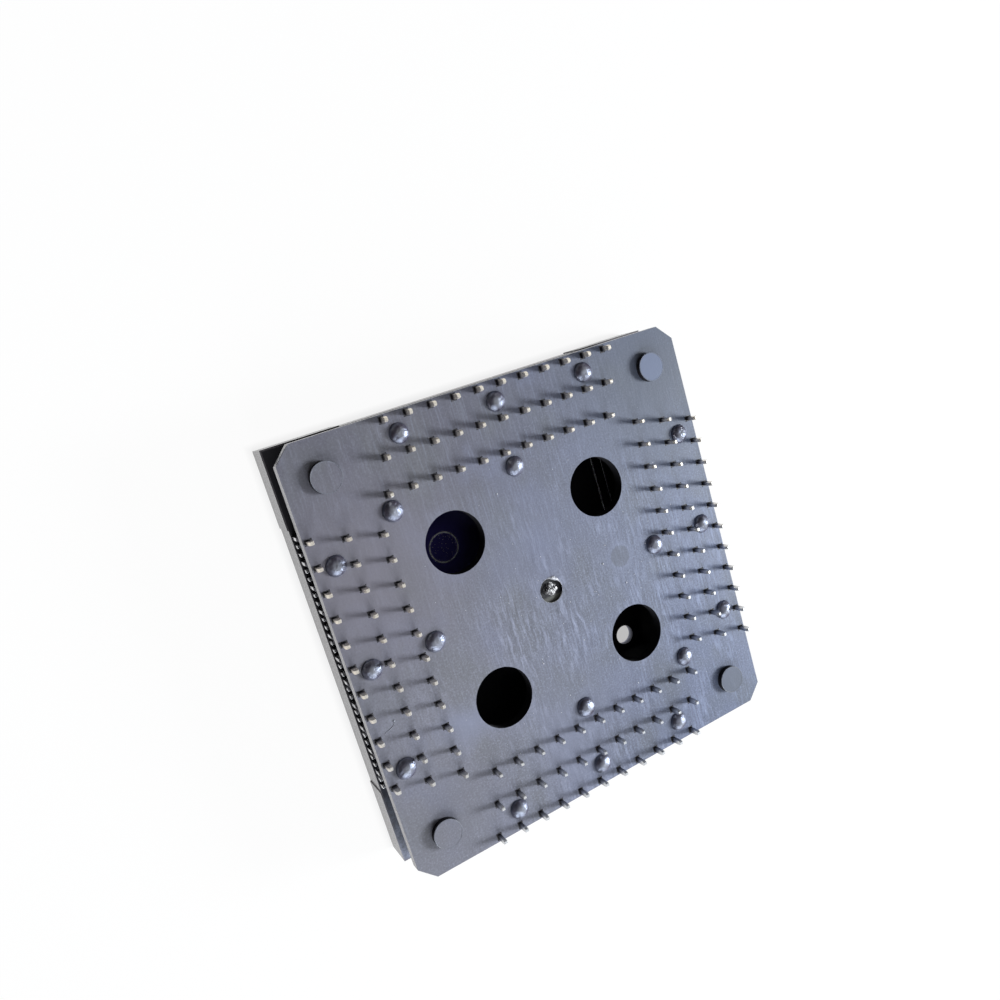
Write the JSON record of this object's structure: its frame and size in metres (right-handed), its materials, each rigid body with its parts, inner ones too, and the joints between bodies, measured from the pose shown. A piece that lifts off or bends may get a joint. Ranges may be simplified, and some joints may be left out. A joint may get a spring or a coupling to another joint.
{
  "type": "ic socket",
  "caption": "Square through-hole socket for a fine-pitch quad flat package: moulded base, tail plate held by staked heads, and staggered rows of flat solder tails.",
  "frame": {"origin": "middle of the loading face, the open side that takes the package and that the part lies on", "axes": "+Z out of the board side, along the solder tails; +Y towards the back side, +X towards the right side; the contact groups are numbered along each side in clockwise order seen from +Z"},
  "size_m": [0.0338, 0.0338, 0.0082],
  "materials": {
    "base_body": "satin moulded",
    "tail_plate": "satin moulded",
    "stakes": "melted, glossy",
    "contacts": "bright plated"
  },
  "bodies": {
    "root": {"base_body": "base_body", "contacts_back_01": "contacts", "contacts_back_02": "contacts", "contacts_back_03": "contacts", "contacts_back_04": "contacts", "contacts_back_05": "contacts", "contacts_back_06": "contacts", "contacts_back_07": "contacts", "contacts_back_08": "contacts", "contacts_back_09": "contacts", "contacts_back_10": "contacts", "contacts_back_11": "contacts", "contacts_front_01": "contacts", "contacts_front_02": "contacts", "contacts_front_03": "contacts", "contacts_front_04": "contacts", "contacts_front_05": "contacts", "contacts_front_06": "contacts", "contacts_front_07": "contacts", "contacts_front_08": "contacts", "contacts_front_09": "contacts", "contacts_front_10": "contacts", "contacts_front_11": "contacts", "contacts_left_01": "contacts", "contacts_left_02": "contacts", "contacts_left_03": "contacts", "contacts_left_04": "contacts", "contacts_left_05": "contacts", "contacts_left_06": "contacts", "contacts_left_07": "contacts", "contacts_left_08": "contacts", "contacts_left_09": "contacts", "contacts_left_10": "contacts", "contacts_left_11": "contacts", "contacts_right_01": "contacts", "contacts_right_02": "contacts", "contacts_right_03": "contacts", "contacts_right_04": "contacts", "contacts_right_05": "contacts", "contacts_right_06": "contacts", "contacts_right_07": "contacts", "contacts_right_08": "contacts", "contacts_right_09": "contacts", "contacts_right_10": "contacts", "contacts_right_11": "contacts", "stakes": "stakes", "tail_plate": "tail_plate"}
  },
  "joints": []
}
